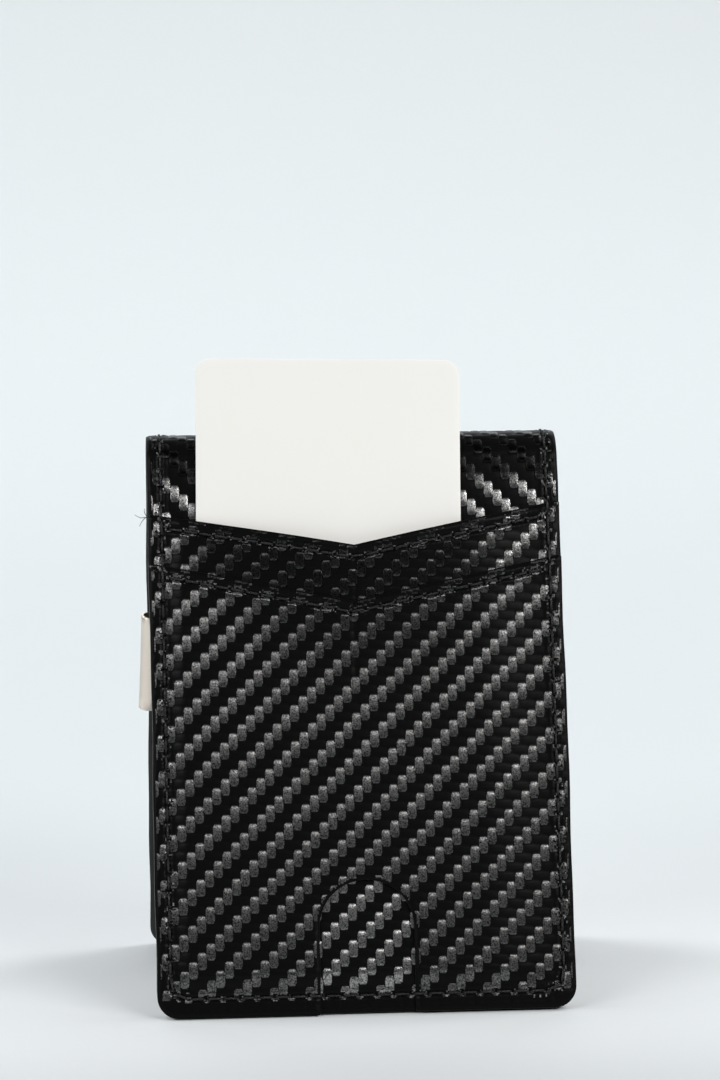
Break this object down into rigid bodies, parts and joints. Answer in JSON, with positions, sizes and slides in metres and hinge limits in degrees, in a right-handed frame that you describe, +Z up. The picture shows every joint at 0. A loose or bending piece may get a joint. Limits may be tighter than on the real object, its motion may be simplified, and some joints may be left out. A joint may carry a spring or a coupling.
{
  "type": "bifold money clip wallet",
  "caption": "Slim bifold wallet in carbon-weave embossed black leather, with V-edged card pockets outside, a sprung money clip inside and a blank card in its pocket.",
  "frame": {"origin": "centre of the bounding box's base: the standing wallet's two free edges rest on the plane z = 0", "axes": "+Z up through the fold, -Y out of the half with the card pockets, X along the fold"},
  "size_m": [0.086, 0.0708, 0.1295],
  "materials": {
    "shell_leather": "embossed twill weave, satin",
    "lining": "smooth, fine grain, matte",
    "board": "pressed fibre board",
    "foil": "thin bright foil",
    "thread": "waxed polyester",
    "clip_steel": "satin nickel",
    "card": "satin white"
  },
  "bodies": {
    "front_half": {"front_shell": "shell_leather", "upper_pocket": "shell_leather", "lower_pocket": "shell_leather", "front_board": "board", "front_rfid_foil": "foil", "front_lining": "lining", "front_inner_pocket_upper": "lining", "front_inner_pocket_upper_thread": "thread", "front_inner_pocket_lower": "lining", "front_inner_pocket_lower_thread": "thread", "front_seam_thread": "thread", "front_bobbin_thread": "thread", "upper_edge_thread": "thread", "lower_edge_thread": "thread"},
    "spine": {"spine_shell": "shell_leather", "spine_lining": "lining"},
    "rear_half": {"rear_shell": "shell_leather", "rear_board": "board", "rear_rfid_foil": "foil", "rear_lining": "lining", "rear_inner_pocket": "lining", "rear_inner_pocket_thread": "thread", "rear_seam_thread": "thread", "rear_bobbin_thread": "thread", "clip_keeper": "lining", "clip_keeper_thread": "thread", "clip_base": "clip_steel"},
    "clip_arm": {"clip_arm": "clip_steel"},
    "card": {"blank_card": "card"}
  },
  "joints": [
    {"name": "front_crease", "type": "hinge", "parent": "front_half", "child": "spine", "pos_m": [0.00103, -0.00433, 0.11369], "axis": [1, 0, 0], "range_deg": [-14.4, 75]},
    {"name": "rear_crease", "type": "hinge", "parent": "spine", "child": "rear_half", "pos_m": [0.00103, 0.00607, 0.11369], "axis": [1, 0, 0], "range_deg": [-14.4, 75]},
    {"name": "clip_flex", "type": "hinge", "parent": "rear_half", "child": "clip_arm", "pos_m": [-0.04067, 0.01427, 0.065], "axis": [-0.0349, 0.2502, -0.9676], "range_deg": [0, 3], "stiffness_Nm_per_rad": 0.25},
    {"name": "card_slide", "type": "slide", "parent": "front_half", "child": "card", "axis": [0.0192, 0.2503, 0.968], "range_m": [-0.038, 0.044]}
  ],
  "couplings": [
    {"joint": "rear_crease", "follows": "front_crease", "ratio": 1}
  ]
}
